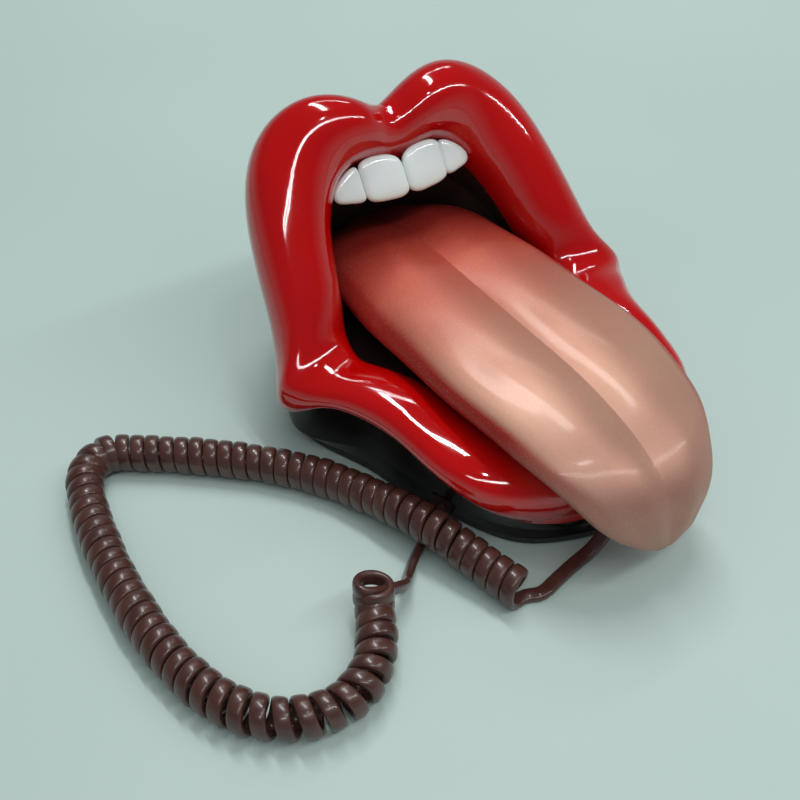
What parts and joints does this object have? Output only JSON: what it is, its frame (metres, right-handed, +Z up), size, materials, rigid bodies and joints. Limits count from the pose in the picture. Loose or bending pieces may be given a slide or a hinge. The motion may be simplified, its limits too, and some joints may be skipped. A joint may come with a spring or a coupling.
{
  "type": "novelty shaped telephone",
  "caption": "Desk telephone shaped like an open mouth: glossy lips on a low base, teeth, and a tongue that lifts out as the corded handset with its keypad underneath.",
  "frame": {"origin": "on the desk surface under the middle of the telephone's box, without its cord", "axes": "+Z up, -Y towards the tongue's tip, +X to the right of someone who looks along +Y"},
  "size_m": [0.2289, 0.1935, 0.1045],
  "materials": {
    "lip_plastic": "mirror-gloss deep red moulding",
    "base_plastic": "glossy black moulding",
    "tongue_plastic": "pearl pink and gold airbrushed lacquer",
    "tooth_plastic": "glossy white moulding",
    "inner_plastic": "matt black moulding",
    "foot_rubber": "soft matt rubber",
    "mat_rubber": "soft silicone rubber",
    "screw_steel": "zinc-plated steel",
    "weight_iron": "rough cast weight",
    "board_laminate": "green solder-masked laminate",
    "capsule_metal": "satin pressed can",
    "key_plastic": "smooth cream moulding",
    "plug_plastic": "smoky clear moulding",
    "cord_plastic": "semi-gloss dark brown jacket"
  },
  "bodies": {
    "base": {"lips_shell": "lip_plastic", "rear_housing": "base_plastic", "mouth_tray": "base_plastic", "teeth_strip": "tooth_plastic", "base_plate": "inner_plastic", "rubber_feet": "foot_rubber", "base_screws": "screw_steel", "tray_screws": "screw_steel", "ballast_plate": "weight_iron", "base_board": "board_laminate", "hook_switch": "inner_plastic", "hook_spring": "screw_steel", "ringer": "inner_plastic", "line_jack": "inner_plastic", "ringer_switch_body": "inner_plastic", "base_cord_jack": "inner_plastic", "cord_plug_base": "plug_plastic", "cord_lead_base": "cord_plastic", "cord_coil": "cord_plastic", "cord_lead_handset": "cord_plastic"},
    "handset": {"tongue_top": "tongue_plastic", "tongue_bottom": "tongue_plastic", "key_mat": "mat_rubber", "keypad_board": "board_laminate", "receiver_gasket": "mat_rubber", "receiver_capsule": "capsule_metal", "microphone_boot": "mat_rubber", "microphone_capsule": "capsule_metal", "handset_weight": "weight_iron", "handset_screws": "screw_steel", "dial_switch_body": "inner_plastic", "handset_cord_jack": "inner_plastic", "cord_plug_handset": "plug_plastic"},
    "hook_plunger": {"hook_plunger": "base_plastic"},
    "ringer_switch": {"ringer_switch": "base_plastic"},
    "dial_mode_switch": {"dial_mode_switch": "base_plastic"},
    "key_1": {"key_1": "key_plastic"},
    "key_2": {"key_2": "key_plastic"},
    "key_3": {"key_3": "key_plastic"},
    "key_4": {"key_4": "key_plastic"},
    "key_5": {"key_5": "key_plastic"},
    "key_6": {"key_6": "key_plastic"},
    "key_7": {"key_7": "key_plastic"},
    "key_8": {"key_8": "key_plastic"},
    "key_9": {"key_9": "key_plastic"},
    "key_star": {"key_star": "key_plastic"},
    "key_0": {"key_0": "key_plastic"},
    "key_hash": {"key_hash": "key_plastic"},
    "key_redial": {"key_redial": "key_plastic"},
    "key_flash": {"key_flash": "key_plastic"}
  },
  "joints": [
    {"name": "handset_lift", "type": "slide", "parent": "base", "child": "handset", "axis": [0, -0.9136, 0.4067], "range_m": [0, 0.12]},
    {"name": "hook_rise", "type": "slide", "parent": "base", "child": "hook_plunger", "axis": [0, 0, 1], "range_m": [0, 0.0036], "deforming": ["hook_spring"]},
    {"name": "ringer_volume", "type": "slide", "parent": "base", "child": "ringer_switch", "axis": [1, 0, 0], "range_m": [0, 0.004]},
    {"name": "dial_mode", "type": "slide", "parent": "handset", "child": "dial_mode_switch", "axis": [1, 0, 0], "range_m": [0, 0.004]},
    {"name": "key_1_press", "type": "slide", "parent": "handset", "child": "key_1", "axis": [0, 0, 1], "range_m": [0, 0.0012], "stiffness_N_per_m": 300, "springref_m": -0.0004},
    {"name": "key_2_press", "type": "slide", "parent": "handset", "child": "key_2", "axis": [0, 0, 1], "range_m": [0, 0.0012], "stiffness_N_per_m": 300, "springref_m": -0.0004},
    {"name": "key_3_press", "type": "slide", "parent": "handset", "child": "key_3", "axis": [0, 0, 1], "range_m": [0, 0.0012], "stiffness_N_per_m": 300, "springref_m": -0.0004},
    {"name": "key_4_press", "type": "slide", "parent": "handset", "child": "key_4", "axis": [0, 0, 1], "range_m": [0, 0.0012], "stiffness_N_per_m": 300, "springref_m": -0.0004},
    {"name": "key_5_press", "type": "slide", "parent": "handset", "child": "key_5", "axis": [0, 0, 1], "range_m": [0, 0.0012], "stiffness_N_per_m": 300, "springref_m": -0.0004},
    {"name": "key_6_press", "type": "slide", "parent": "handset", "child": "key_6", "axis": [0, 0, 1], "range_m": [0, 0.0012], "stiffness_N_per_m": 300, "springref_m": -0.0004},
    {"name": "key_7_press", "type": "slide", "parent": "handset", "child": "key_7", "axis": [0, 0, 1], "range_m": [0, 0.0012], "stiffness_N_per_m": 300, "springref_m": -0.0004},
    {"name": "key_8_press", "type": "slide", "parent": "handset", "child": "key_8", "axis": [0, 0, 1], "range_m": [0, 0.0012], "stiffness_N_per_m": 300, "springref_m": -0.0004},
    {"name": "key_9_press", "type": "slide", "parent": "handset", "child": "key_9", "axis": [0, 0, 1], "range_m": [0, 0.0012], "stiffness_N_per_m": 300, "springref_m": -0.0004},
    {"name": "key_star_press", "type": "slide", "parent": "handset", "child": "key_star", "axis": [0, 0, 1], "range_m": [0, 0.0012], "stiffness_N_per_m": 300, "springref_m": -0.0004},
    {"name": "key_0_press", "type": "slide", "parent": "handset", "child": "key_0", "axis": [0, 0, 1], "range_m": [0, 0.0012], "stiffness_N_per_m": 300, "springref_m": -0.0004},
    {"name": "key_hash_press", "type": "slide", "parent": "handset", "child": "key_hash", "axis": [0, 0, 1], "range_m": [0, 0.0012], "stiffness_N_per_m": 300, "springref_m": -0.0004},
    {"name": "key_redial_press", "type": "slide", "parent": "handset", "child": "key_redial", "axis": [0, 0, 1], "range_m": [0, 0.0012], "stiffness_N_per_m": 300, "springref_m": -0.0004},
    {"name": "key_flash_press", "type": "slide", "parent": "handset", "child": "key_flash", "axis": [0, 0, 1], "range_m": [0, 0.0012], "stiffness_N_per_m": 300, "springref_m": -0.0004}
  ],
  "couplings": [
    {"joint": "hook_rise", "follows": "handset_lift", "ratio": 0.03}
  ]
}
